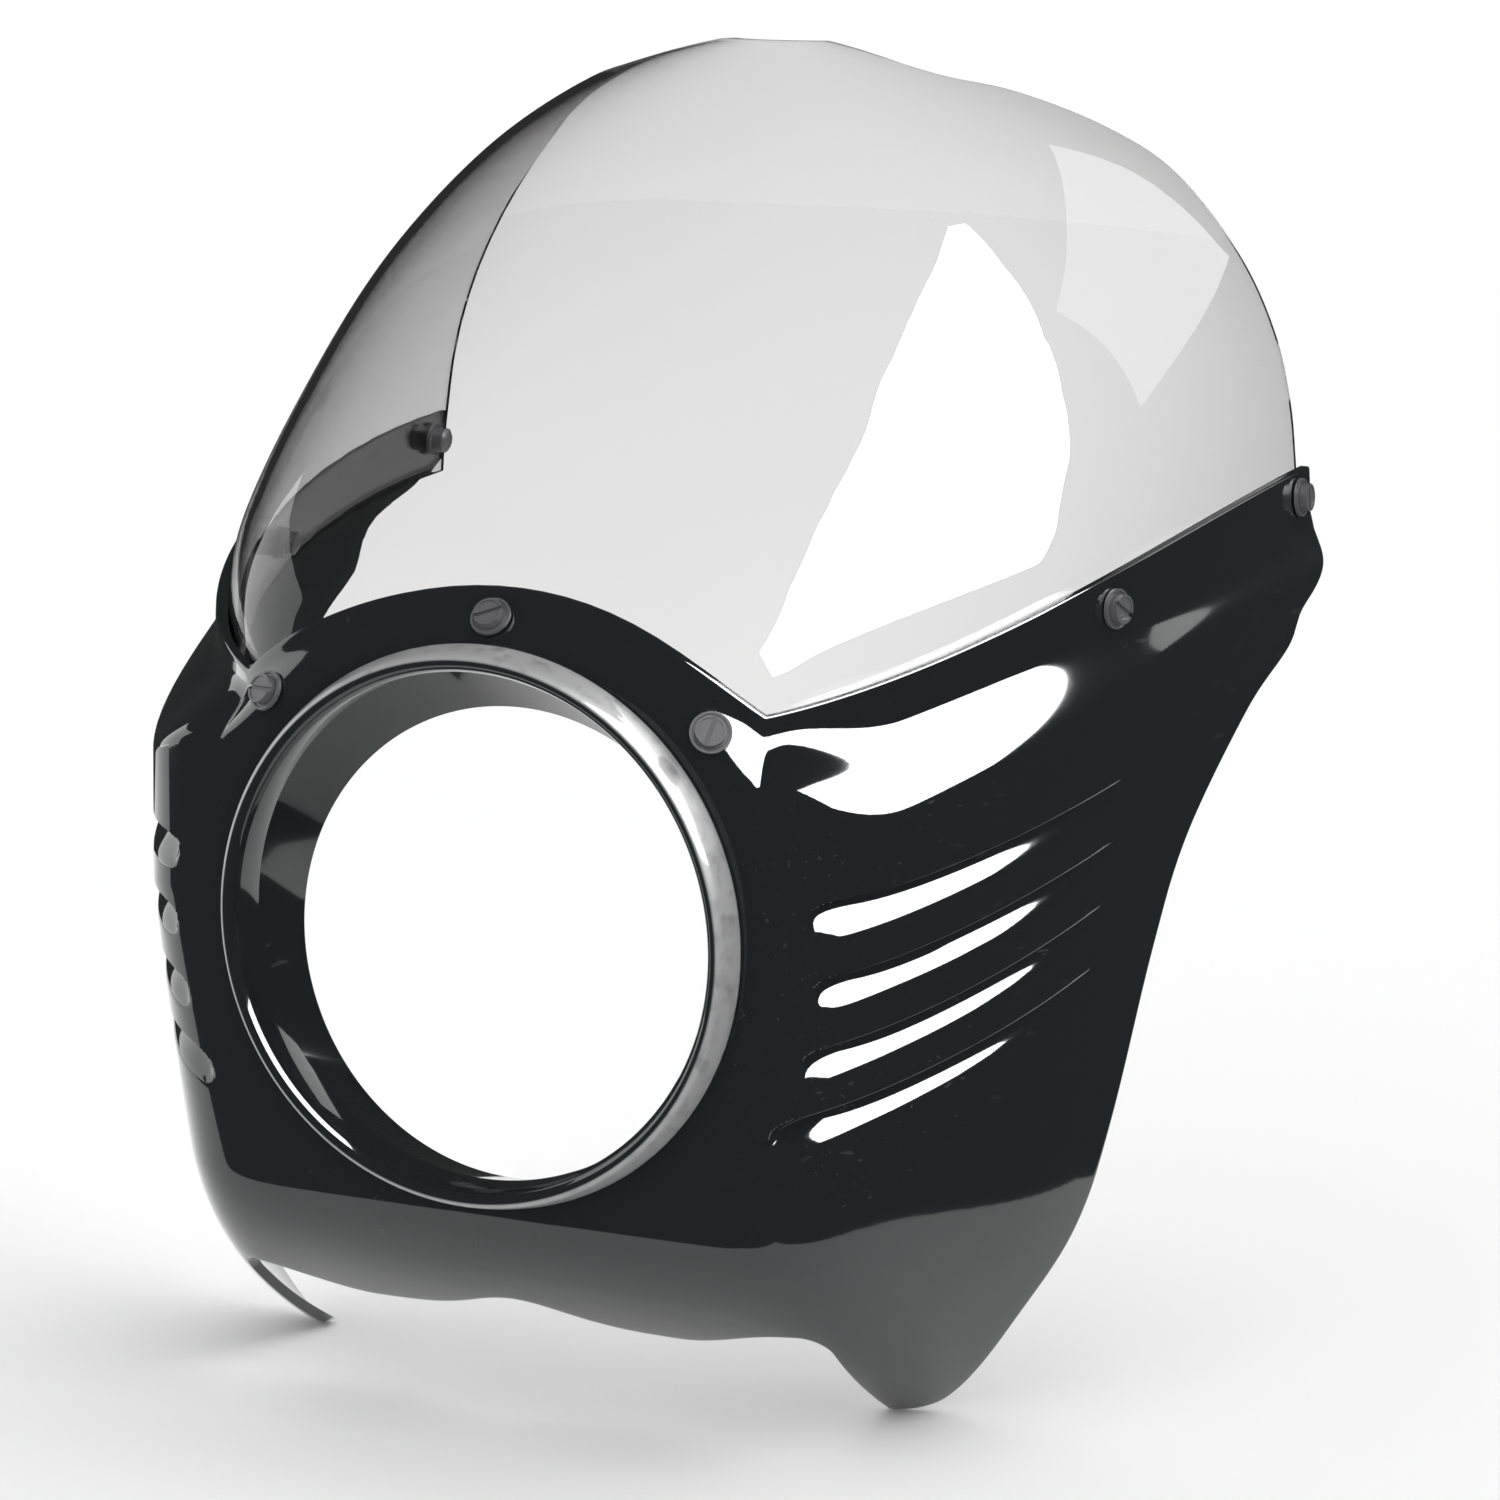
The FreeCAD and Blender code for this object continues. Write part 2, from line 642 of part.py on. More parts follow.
os.makedirs("parts", exist_ok=True)
for node in (fairing_body, windscreen, screen_washers, screen_screws, screen_nuts):
    if node.Shape.isNull() or not node.Shape.isValid():
        raise RuntimeError(node.Label + " has no valid shape")
    print(node.Label, len(node.Shape.Solids), "solids", round(node.Shape.Volume), "mm3", node.Shape.BoundBox)
    node.Shape.exportStep("parts/" + node.Label + ".step")
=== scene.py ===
# %% [markdown]
# # A motorcycle headlamp fairing with a tinted screen
# This lesson dresses a CAD part for a studio picture. The part is a gloss black plastic moulding that
# sits around a round headlamp, with a formed clear screen screwed behind its upper edge. We load the
# solids first, because every light, finish and detail is set against them, and we note their box so
# that nothing we add grows the part.

# %% Load the solids and note their box
import bpy
import math
import numpy as np
from mathutils import Matrix, Vector


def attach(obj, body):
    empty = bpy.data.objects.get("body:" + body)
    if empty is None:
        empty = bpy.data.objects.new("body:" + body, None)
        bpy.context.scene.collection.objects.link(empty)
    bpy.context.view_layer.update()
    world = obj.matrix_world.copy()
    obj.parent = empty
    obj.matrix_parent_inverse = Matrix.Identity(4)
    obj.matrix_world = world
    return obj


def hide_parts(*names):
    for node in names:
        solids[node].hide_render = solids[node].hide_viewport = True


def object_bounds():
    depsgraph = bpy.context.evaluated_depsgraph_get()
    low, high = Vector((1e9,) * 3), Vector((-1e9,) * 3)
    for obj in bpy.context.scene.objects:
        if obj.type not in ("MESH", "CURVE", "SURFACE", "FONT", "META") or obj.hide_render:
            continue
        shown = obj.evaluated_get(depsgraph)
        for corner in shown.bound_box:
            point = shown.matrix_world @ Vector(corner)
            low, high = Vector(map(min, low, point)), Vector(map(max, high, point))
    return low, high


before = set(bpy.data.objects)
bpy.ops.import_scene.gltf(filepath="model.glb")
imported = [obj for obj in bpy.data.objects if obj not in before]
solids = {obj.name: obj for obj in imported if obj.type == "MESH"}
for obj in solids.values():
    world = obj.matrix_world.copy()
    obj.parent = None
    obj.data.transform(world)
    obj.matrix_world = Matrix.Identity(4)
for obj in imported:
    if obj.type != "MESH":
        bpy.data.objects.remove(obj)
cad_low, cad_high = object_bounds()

print("solids:", sorted(solids))
print("box in millimetres:", [round((b - a) * 1000) for a, b in zip(cad_low, cad_high)])

# %% [markdown]
# ## Why the two sheets are made again
# The solids arrive as triangles that hold the shape to a tenth of a millimetre. That is plenty for
# size, but gloss black shows the bends between triangles as broken highlights. A finer copy of the
# moulding and of the screen could come from subdividing the triangles, which keeps their bends, or from
# the curves behind them. We take the curves: every skin is a distance outward from an upright line
# behind the part, so one formula gives each point and we choose how closely to place them. Lengths in
# these formulas are millimetres, as on the drawing.

# %% Sizes shared by the moulding and the screen
lamp_radius = 90.0
wall_thick = 3.5
wing_length = 328.0
middle_back = wing_length + 7.0
arch_top = 116.4
arch_radius = 155.0
face_depth = 8.5
tip_drop = 185.0
chin_drop = 149.0
screen_top = 296.0
screen_thick = 3.0
screen_gap = 0.8
edge_round = 0.9
bore_depth = 13.0
collar_run = 22.0
collar_taper = 6.0
collar_drop = 11.0
rim_foot = 7.4
rim_overlap = 5.0


def ease(value, low, high):
    part = np.clip((value - low) / (high - low), 0.0, 1.0)
    return part * part * (3.0 - 2.0 * part)


def spot(angle, reach, z):
    return np.stack([reach * np.sin(angle), middle_back - reach * np.cos(angle), z + 0.0 * reach], axis=-1)


def moved(reach, thickness):
    def skin(angle, z):
        here = reach(angle, z)
        turned = (reach(angle + 0.004, z) - reach(angle - 0.004, z)) / 0.008 / here
        leaned = np.clip((reach(angle, z + 1.0) - reach(angle, z - 1.0)) / 2.0, -3.0, 3.0)
        return here + thickness * np.sqrt(1.0 + turned ** 2 + leaned ** 2)
    return skin


print("sheets are", wall_thick, "and", screen_thick, "mm thick")

# %% [markdown]
# ## The skins
# The screen is heat formed over a buck, so its level sections are smooth half ovals that close towards
# the top. The moulding's cheeks are nearly flat planes that melt into each other. Taking the smallest
# of several plane distances would leave hard creases, so a high power mean does the same with soft
# corners. Along its upper edge the moulding turns in to a flange that follows the screen.


# %% Screen, cheeks and flange
def screen_reach(angle, z):
    above = z - arch_top
    front = 26.0 + 0.55 * above + 0.00345 * np.maximum(0.0, above) ** 2
    round_front = -7.0 + (front + 7.0) * ease(above, -31.0, 69.0)
    share = np.clip((above + 6.4) / (screen_top - arch_top + 10.9), 0.0, 0.999)
    half = (185.5 + 2.0 * ease(above, 24.0, 64.0)) * (1.0 - share ** 2.2) ** (1.0 / 2.2)
    power = 2.45 - 0.08 * ease(above, 0.0, 44.0)
    across = np.abs(np.sin(angle)) / half
    along = np.abs(np.cos(angle)) / (middle_back - round_front)
    section = (across ** power + along ** power) ** (1.0 / power)
    flat = np.maximum(0.0, np.cos(angle)) / (middle_back - front)
    blend = 30.0 - 16.0 * ease(above, 2.0, 54.0)
    fade = 1.0 - ease(above, 20.0, 69.0)
    return (section ** blend + fade * flat ** blend) ** (-1.0 / blend)


def cheek_reach(angle, z):
    low = np.maximum(0.0, -z)
    tuck = 29.0 * (np.maximum(0.0, low - 95.0) / (tip_drop - 95.0)) ** 2
    chin = 36.0 * (np.maximum(0.0, low - lamp_radius - 10.0) / (chin_drop - lamp_radius - 12.0)) ** 1.7
    total = 0.0
    for degrees, offset in (
        (0.0, middle_back - face_depth - chin),
        (59.0, 284.0 - 0.165 * low - tuck),
        (76.0, 223.0 + 0.02 * low - tuck),
        (86.0, 205.5 - tuck),
    ):
        facing = np.maximum(0.0, np.cos(np.abs(angle) - math.radians(degrees)))
        total = total + (facing / offset) ** 30
    return total ** (-1.0 / 30)


def wing_height(y):
    return 72.5 + 0.355 * y - 0.00047 * y * y


def arch_height(x):
    return arch_top - arch_radius + np.sqrt(np.maximum(1.0, arch_radius ** 2 - x * x))


flange_reach = moved(screen_reach, wall_thick + screen_gap)


def shell_reach(angle, z):
    flange = flange_reach(angle, np.minimum(z, arch_top + 34.0))
    x, y, _ = np.moveaxis(spot(angle, flange, z), -1, 0)
    edge = np.where(y < wing_length / 3.0, np.maximum(wing_height(y), arch_height(x)), wing_height(y))
    rear = ease(y, 60.0, 160.0)
    outward = np.maximum(rear, ease(np.abs(x), 105.0, 135.0))
    down = np.clip((edge - z - 6.0 - 10.0 * outward) / (20.0 + 8.0 * outward), 0.0, 1.0)
    crisp = 0.5 * outward * (1.0 - rear)
    share = (1.0 - crisp) * ease(down, 0.0, 1.0) + crisp * np.sin(math.pi / 2.0 * down)
    return flange + share * (cheek_reach(angle, z) - flange)


print("half width of the skin at the wings:", round(float(shell_reach(np.array(1.5), np.array(100.0))), 1))


# %% [markdown]
# ## Where the sheets end
# Outlines are easiest to give as heights: for every point of the moulding, the lowest and highest
# allowed. The rear edge is a smooth curve through a few points seen from the side, and the chin has a
# small notch in its middle. For each upright line of the sheet we look for the first height inside the
# outline and close in on it by halving.


# %% Outlines
def through(points, steps=24):
    marks = np.array(points, dtype=float)
    marks = np.vstack([2.0 * marks[0] - marks[1], marks, 2.0 * marks[-1] - marks[-2]])
    share = np.linspace(0.0, 1.0, steps, endpoint=False)[:, None]
    run = []
    for a, b, c, d in zip(marks, marks[1:], marks[2:], marks[3:]):
        run.append(0.5 * (2.0 * b + (c - a) * share + (2.0 * a - 5.0 * b + 4.0 * c - d) * share ** 2
                          + (3.0 * b - a - 3.0 * c + d) * share ** 3))
    run.append(marks[-2:-1])
    return np.vstack(run)


rear_edge = through([
    (87.0, -185.0), (100.0, -184.4), (111.5, -181.7), (115.8, -174.0), (118.7, -144.0), (131.0, -115.0),
    (149.0, -74.0), (172.0, -20.0), (196.0, 20.0), (239.0, 58.0), (274.0, 77.0), (286.0, 90.0),
    (316.5, 104.5), (328.0, 118.4),
])
chin_half = 0.72 * chin_drop
tip_half = 0.777 * chin_drop


def chin_height(x):
    across = np.abs(x) / chin_drop
    notch = 9.5 * np.exp(-(across / 0.17) ** 2)
    height = notch + 0.06 * chin_drop * ease(across, 0.4, 0.7) - chin_drop
    corner = np.clip((np.abs(x) - chin_half) / (tip_half - chin_half), 0.0, 1.0)
    return np.where(np.abs(x) < tip_half, height - 9.0 * (1.0 - np.sqrt(1.0 - corner ** 2)), -400.0)


def shell_floor(x, y):
    return np.maximum(chin_height(x), np.interp(y, rear_edge[:, 0], rear_edge[:, 1]))


def shell_roof(x, y):
    arched = (np.abs(x) < 121.0) & (y < 60.0)
    return np.where(arched, np.maximum(wing_height(y), arch_height(x)), wing_height(y))


def limits(reach, floor_of, roof_of, angles, low, high):
    heights = np.arange(low, high, 0.5)
    angle, z = np.meshgrid(angles, heights)

    def under(angle, z):
        x, y, _ = np.moveaxis(spot(angle, reach(angle, z), z), -1, 0)
        return z < floor_of(x, y)

    def over(angle, z):
        x, y, _ = np.moveaxis(spot(angle, reach(angle, z), z), -1, 0)
        return z > roof_of(x, y)

    below = under(angle, z)
    bottom = heights[len(heights) - 1 - np.argmax(below[::-1], axis=0)]
    bottom = np.where(below.any(axis=0), bottom, low)
    beyond = over(angle, z) & (z > bottom)
    top = np.where(beyond.any(axis=0), heights[np.argmax(beyond, axis=0)], high)
    found = []
    for start, step, test in ((bottom, 0.5, under), (top, -0.5, over)):
        outside = start.copy()
        inside = start + step
        for _ in range(16):
            half = (outside + inside) / 2.0
            out = test(angles, half)
            outside = np.where(out, half, outside)
            inside = np.where(out, inside, half)
        found.append(inside)
    return found


print("rear edge drawn with", len(rear_edge), "points")

# %% [markdown]
# ## The gills
# Each cheek has four gills: scoops with a crisp upper edge that rise back to the skin below and run out
# towards the rear. Cutting them out with booleans would leave ragged triangles along the crisp edge.
# Here the rows of the sheet run along the gills instead, closely spaced just under each edge, and the
# scoop is a depth taken off the skin.

# %% Gill rows and scoop depth
gill_top = 21.0
gill_spacing = 25.0
gill_lines = gill_top - gill_spacing * np.arange(4)
gill_height = 13.5
gill_depth = 5.6
gill_wall = 0.14
down_steps = np.array([
    0.0, 0.3, 0.7, 1.2, 1.8, 2.5, 3.3, 4.2, 5.2, 6.3, 7.5, 8.8,
    10.2, 11.6, 13.0, 14.4, 15.8, 17.2, 18.6, 20.2, 22.0, 23.6, 24.6,
])


def found_angle(z, ahead):
    low, high = np.zeros_like(z), np.full_like(z, math.pi / 2.0)
    for _ in range(40):
        half = (low + high) / 2.0
        passed = ahead(*np.moveaxis(spot(half, shell_reach(half, z), z), -1, 0))
        high = np.where(passed, half, high)
        low = np.where(passed, low, half)
    return low


gill_rows = np.concatenate([[27.0, 24.0, 22.2, 21.4]] + [line - down_steps for line in gill_lines])[::-1]
number = (gill_top - gill_rows) / gill_spacing
gill_front = found_angle(gill_rows, lambda x, y, z: x > np.sqrt(130.0 ** 2 - gill_rows ** 2))
gill_rear = found_angle(46.5 - 21.9 * number, lambda x, y, z: y > 0.46 * wing_length - 6.0 * number)


def gill_share(angle):
    return (np.abs(angle)[None, :] - gill_front[:, None]) / (gill_rear - gill_front)[:, None]


def gill_heights(angle):
    along = np.clip(gill_share(angle), -0.06, 1.05)
    return gill_rows[:, None] + along * (25.5 + 3.1 * number)[:, None]


def scoop(angle):
    share = gill_share(angle)
    heights = gill_heights(angle)
    depth = np.zeros_like(heights)
    back = np.clip((share - 0.04) / 0.98, 0.0, 1.0)
    nose = np.sqrt(np.clip(1.0 - (np.clip(0.04 - share, 0.0, None) / 0.095) ** 2, 0.0, 1.0))
    deep = gill_depth * nose * np.cos(math.pi / 2.0 * back) ** 1.15
    tall = gill_height * (1.0 - 0.5 * back ** 1.6) * (0.45 + 0.55 * nose)
    drop = 0.25 * gill_height * (1.0 - nose)
    for line in gill_lines:
        row = int(np.argmin(np.abs(gill_rows - line)))
        below = (heights[row][None, :] - heights) * 0.963 - drop
        part = below / tall
        wall = np.sin(math.pi / 2.0 * (np.clip(part, 0.0, gill_wall) / gill_wall) ** 0.6)
        ramp = 0.5 + 0.5 * np.cos(math.pi * np.clip((part - gill_wall) / (1.0 - gill_wall), 0.0, 1.0))
        depth = np.maximum(depth, deep * np.where(part < gill_wall, wall, ramp) * (part > 0.0))
    return depth


gill_starts = np.degrees(gill_front[[0, -1]]).round(1)
gill_ends = np.degrees(gill_rear[[0, -1]]).round(1)
print("gills run from", gill_starts, "to", gill_ends, "degrees around the part")


# %% [markdown]
# ## From rows to a sheet with two faces
# A moulding has a wall, and its cut edges are slightly rounded so that they catch the light. The outer
# face keeps all rows and columns, the inner face every third one, and strips of larger faces join them
# along the border.


# %% Sheet builder
def sheet_mesh(name, outer, inner, step, gone):
    rows, columns, _ = outer.shape
    kept_rows = sorted(set(range(0, rows, step)) | {rows - 1})
    kept_columns = sorted(set(range(0, columns, step)) | {columns - 1})
    verts = np.vstack([outer.reshape(-1, 3), inner[np.ix_(kept_rows, kept_columns)].reshape(-1, 3)]) / 1000.0
    base = rows * columns
    width = len(kept_columns)
    faces = []
    for r in range(rows - 1):
        for c in range(columns - 1):
            if not gone[r:r + 2, c:c + 2].all():
                a = r * columns + c
                faces.append((a, a + 1, a + columns + 1, a + columns))
    for i, (r, r_next) in enumerate(zip(kept_rows, kept_rows[1:])):
        for j, (c, c_next) in enumerate(zip(kept_columns, kept_columns[1:])):
            if not gone[r:r_next + 1, c:c_next + 1].all():
                a = base + i * width + j
                faces.append((a, a + width, a + width + 1, a + 1))
    for i, r in ((0, 0), (len(kept_rows) - 1, rows - 1)):
        for j, (c, c_next) in enumerate(zip(kept_columns, kept_columns[1:])):
            strip = [r * columns + k for k in range(c, c_next + 1)]
            strip += [base + i * width + j + 1, base + i * width + j]
            faces.append(strip[::-1] if r == 0 else strip)
    for j, c in ((0, 0), (width - 1, columns - 1)):
        for i, (r, r_next) in enumerate(zip(kept_rows, kept_rows[1:])):
            strip = [k * columns + c for k in range(r, r_next + 1)]
            strip += [base + (i + 1) * width + j, base + i * width + j]
            faces.append(strip if c == 0 else strip[::-1])
    mesh = bpy.data.meshes.new(name)
    mesh.from_pydata(verts.tolist(), [], faces)
    mesh.validate()
    mesh.shade_smooth()
    mesh.set_sharp_from_angle(angle=math.radians(50.0))
    return mesh


def mirrored(angles):
    return np.concatenate([-angles[:0:-1], angles])


def rounded(distance):
    inset = np.clip(edge_round - distance, 0.0, edge_round)
    return edge_round - np.sqrt(edge_round ** 2 - inset ** 2)


edge_steps = np.array([0.0, 0.08, 0.25, 0.55, 1.0])
print("cut edges are rounded over", edge_round, "mm in", len(edge_steps), "rows")


# %% [markdown]
# ## The moulded shell
# Upright lines run from the lower outline to the upper one, closer together around the opening and the
# gills, where the light changes fastest. Near both ends the first rows stand only fractions of a
# millimetre apart, and there the face draws back a little, which rounds the cut edge. Around the lamp
# the faces are left out, because the rim goes there. The inside follows the gills as softer bumps, as
# the back of a moulding does.


# %% Moulded shell
def spaced(start, end, gap):
    return np.linspace(start, end, max(2, round((end - start) / gap)), endpoint=False)


def softened(depth):
    for axis in (0, 1):
        near = np.roll(depth, 1, axis) + np.roll(depth, -1, axis)
        far = np.roll(depth, 2, axis) + np.roll(depth, -2, axis)
        depth = (3.0 * depth + 2.0 * near + far) / 9.0
    return depth


def shell_mesh():
    rear_end = math.radians(87.82)
    angles = mirrored(np.concatenate([
        spaced(0.0, 0.30, 0.0095),
        spaced(0.30, 0.45, 0.0025),
        spaced(0.45, 0.83, 0.0055),
        spaced(0.83, rear_end, 0.012),
        [rear_end],
    ]))
    bottom, top = limits(shell_reach, shell_floor, shell_roof, angles, -196.0, 150.0)
    middle_rows = gill_heights(angles)
    freeze = np.argmax(angles > 0.80)
    for column in np.flatnonzero(np.abs(angles) > angles[freeze]):
        share = (middle_rows[:, freeze] - bottom[freeze]) / (top[freeze] - bottom[freeze])
        middle_rows[:, column] = bottom[column] + share * (top[column] - bottom[column])
    low_share = np.linspace(0.0, 1.0, 24, endpoint=False)[:, None]
    high_share = np.linspace(0.0, 1.0, 40)[1:, None]
    low_start = bottom + edge_steps[-1]
    high_end = top - edge_steps[-1]
    z = np.vstack([
        bottom + edge_steps[:-1, None],
        low_start + low_share * (middle_rows[0] - low_start),
        middle_rows,
        middle_rows[-1] + high_share * (high_end - middle_rows[-1]),
        top - edge_steps[-2::-1, None],
    ])
    angle = np.broadcast_to(angles, z.shape)
    first = len(edge_steps) - 1 + len(low_share)
    depth = np.zeros_like(z)
    depth[first:first + len(middle_rows)] = scoop(angles)
    outer_reach = shell_reach(angle, z) - depth - rounded(np.minimum(z - bottom, top - z)) - 0.02
    inner_reach = moved(shell_reach, -wall_thick)(angle, z) - np.maximum(softened(depth), depth - 1.5)
    outer = spot(angle, outer_reach, z)
    inner = spot(angle, inner_reach, z)
    gone = (np.hypot(outer[..., 0], outer[..., 2]) < lamp_radius + rim_foot) & (outer[..., 1] < 40.0)
    for face in (outer, inner):
        radius = np.hypot(face[..., 0], face[..., 2])
        outward = np.where(gone, np.maximum(1.0, (lamp_radius + rim_overlap) / np.maximum(radius, 1.0)), 1.0)
        face[..., 0] *= outward
        face[..., 2] *= outward
    return sheet_mesh("shell", outer, inner, 3, gone)


shell = shell_mesh()
print("shell has", len(shell.polygons), "faces")


# %% [markdown]
# ## The lamp rim and its collar
# The rim is a bead around the opening, turned on the lamp's axis, and behind it a collar slopes down
# and narrows. Both are revolved shapes, so a profile is carried around in steps. The collar's rear edge
# is a smaller circle set lower, so each ring of it has its own centre.

# %% Rim and collar
rim_profile = through([(90.0, 0.0), (91.5, -3.0), (93.9, -4.5), (96.1, -3.0), (97.6, 1.7), (98.65, 6.4),
                       (99.3, 13.0)], 6)


def ring_mesh(name, rings, turns=180):
    verts = []
    faces = []
    for radius, y, drop in rings:
        for step in range(turns):
            around = 2.0 * math.pi * step / turns
            verts.append((radius * math.cos(around) / 1000.0, y / 1000.0,
                          (radius * math.sin(around) - drop) / 1000.0))
    count = len(rings)
    for ring in range(count):
        for step in range(turns):
            ahead = (step + 1) % turns
            here = ring * turns
            next_ring = (ring + 1) % count * turns
            faces.append((here + step, here + ahead, next_ring + ahead, next_ring + step))
    mesh = bpy.data.meshes.new(name)
    mesh.from_pydata(verts, [], faces)
    mesh.shade_smooth()
    mesh.set_sharp_from_angle(angle=math.radians(40.0))
    return mesh


rim_rings = [(radius, y, 0.0) for radius, y in rim_profile] + [(lamp_radius, bore_depth, 0.0)]
rim = ring_mesh("rim", rim_rings)
collar_rings = []
for share in np.linspace(0.0, 1.0, 9):
    radius = lamp_radius - collar_taper * share
    collar_rings.append((radius, bore_depth + collar_run * share, collar_drop * share))
for share in np.linspace(1.0, 0.0, 9):
    radius = lamp_radius + wall_thick - collar_taper * share
    collar_rings.append((radius, bore_depth + collar_run * share, collar_drop * share))
collar = ring_mesh("collar", collar_rings)


def joined_piece(name, meshes):
    parts = []
    for mesh in meshes:
        part = bpy.data.objects.new(mesh.name, mesh)
        bpy.context.scene.collection.objects.link(part)
        parts.append(part)
    if len(parts) > 1:
        with bpy.context.temp_override(active_object=parts[0], selected_editable_objects=parts):
            bpy.ops.object.join()
    parts[0].name = name
    return parts[0]


moulding = joined_piece("moulded_body", [shell, rim, collar])
print("moulded body has", len(moulding.data.polygons), "faces")

# %% [markdown]
# ## The formed screen
# The clear sheet is made in the same way as the moulding: upright lines from its foot, hidden behind the
# flange, to its trailing edge. The lines stand closer together towards the rear, where that edge drops
# steeply. A heat formed sheet bends evenly, so above the flange each point takes the average of its
# neighbours above and below, which lets reflections run smoothly.

# %% Screen sheet
height = screen_top - arch_top
screen_top_back = 242.1
trailing_edge = through([
    (326.0, arch_top + 0.34 * height),
    (322.8, arch_top + 0.55 * height),
    (313.2, arch_top + 0.735 * height),
    (295.2, arch_top + 0.826 * height),
    (269.0, arch_top + 0.905 * height),
    (249.3, arch_top + 0.94 * height),
    (screen_top_back, screen_top),
])


def screen_floor(x, y):
    foot = arch_top - arch_radius + np.sqrt(np.maximum(1.0, (arch_radius - 15.0) ** 2 - x * x))
    return np.where(y < 45.0, np.maximum(foot, wing_height(y) - 25.0), wing_height(y) - 25.0)


def screen_roof(x, y):
    behind = np.interp(y, trailing_edge[::-1, 0], trailing_edge[::-1, 1])
    return np.where(y < screen_top_back, screen_top, np.where(y > 325.7, -400.0, behind))


def calm_reach(angle, z):
    plain = screen_reach(angle, z)
    x, y, _ = np.moveaxis(spot(angle, plain, z), -1, 0)
    total = 0.0
    weights = 0.0
    for shift in np.linspace(-36.0, 36.0, 13):
        weight = math.exp(-0.5 * (shift / 15.0) ** 2)
        total = total + weight * screen_reach(angle, np.minimum(z + shift, 280.0))
        weights += weight
    share = ease(z - shell_roof(x, y), 4.0, 34.0) * (1.0 - ease(z, 222.0, 262.0))
    return plain + share * (total / weights - plain)


def screen_mesh():
    rear_end = math.radians(86.9)
    share = np.linspace(0.0, 1.0, 91)
    angles = mirrored(rear_end * (1.0 - (1.0 - share) ** 1.7))
    bottom, top = limits(screen_reach, screen_floor, screen_roof, angles, 40.0, screen_top)
    rows = np.linspace(0.0, 1.0, 80)[:, None] ** 0.75
    low_start = bottom + edge_steps[-1]
    high_end = top - edge_steps[-1]
    z = np.vstack([
        bottom + edge_steps[:-1, None],
        low_start + rows * (high_end - low_start),
        top - edge_steps[-2::-1, None],
    ])
    angle = np.broadcast_to(angles, z.shape)
    outer_reach = calm_reach(angle, z) - 0.6 * rounded(np.minimum(z - bottom, top - z))
    inner_reach = moved(calm_reach, -screen_thick)(angle, z)
    gone = np.zeros(z.shape, dtype=bool)
    return sheet_mesh("screen", spot(angle, outer_reach, z), spot(angle, inner_reach, z), 1, gone)


screen = joined_piece("formed_screen", [screen_mesh()])
print("formed screen has", len(screen.data.polygons), "faces")

# %% [markdown]
# ## The camera
# The photograph was taken from the fairing's right front, a little above it, with a long lens. A long
# lens keeps the two halves of the part nearly the same size. The place and turn of the camera come from
# matching the lamp opening's circle and the screws on both sides, so the camera's axes are built
# directly instead of being aimed at a target.

# %% Camera
turn, tip, roll = math.radians(24.187), math.radians(10.211), math.radians(0.945)
back = Vector((math.sin(turn) * math.cos(tip), -math.cos(turn) * math.cos(tip), math.sin(tip)))
level = Vector((math.cos(turn), math.sin(turn), 0.0))
upright = back.cross(level)
right = level * math.cos(roll) + upright * math.sin(roll)
up = upright * math.cos(roll) - level * math.sin(roll)
eye = right * 0.096139 + up * 0.062384 + back * 1.710372
lens = bpy.data.cameras.new("studio_camera")
lens.lens = 120.0
lens.sensor_width = 36.0
lens.clip_end = 50.0
camera = bpy.data.objects.new("studio_camera", lens)
camera.matrix_world = Matrix((
    (right.x, up.x, back.x, eye.x),
    (right.y, up.y, back.y, eye.y),
    (right.z, up.z, back.z, eye.z),
    (0.0, 0.0, 0.0, 1.0),
))
bpy.context.scene.collection.objects.link(camera)
bpy.context.scene.camera = camera
print("camera stands at", [round(v, 3) for v in eye])

# %% [markdown]
# ## The studio floor
# A plain pale floor carries the part. Gloss black plastic shows almost nothing of its own colour: what
# we see on it is the room. The wide floor is left out of reflections, and a smaller paper sheet that only
# shows there gives the grey on the chin and the tips, with its edge where the grey ends.

# %% Floor
def flat_panel(name, corners):
    mesh = bpy.data.meshes.new(name)
    mesh.from_pydata(corners, [], [tuple(range(len(corners)))])
    panel = bpy.data.objects.new(name, mesh)
    bpy.context.scene.collection.objects.link(panel)
    return panel


floor_level = cad_low[2] - 0.0005
floor = flat_panel("studio_floor", [
    (-4.0, -4.0, floor_level - 0.0003), (4.0, -4.0, floor_level - 0.0003),
    (4.0, 6.0, floor_level - 0.0003), (-4.0, 6.0, floor_level - 0.0003)])
floor.visible_glossy = False
sheet = flat_panel("paper_sheet", [
    (-2.5, -0.12, floor_level), (0.19, -0.12, floor_level), (0.4, 0.29, floor_level),
    (0.4, 0.8, floor_level), (-2.5, 0.8, floor_level)])
sheet.visible_camera = False
sheet.visible_diffuse = False
sheet.visible_shadow = False
paper = bpy.data.materials.new("pale_paper")
paper.use_nodes = True
paper_shader = paper.node_tree.nodes["Principled BSDF"]
paper_shader.inputs["Base Color"].default_value = (0.96, 0.96, 0.96, 1.0)
paper_shader.inputs["Roughness"].default_value = 0.9
paper_shader.inputs["Specular IOR Level"].default_value = 0.0
for panel in (floor, sheet):
    panel.data.materials.append(paper)

print("floor at", round(floor_level, 4))

# %% [markdown]
# ## The surround
# A white room behind the part gives the clean background and the even light. Seen in the gloss it
# would turn the black into grey, so a mirrored view meets a nearly dark room instead. Light Path tells
# the two apart: the room is dark once a ray has bounced off a glossy surface.

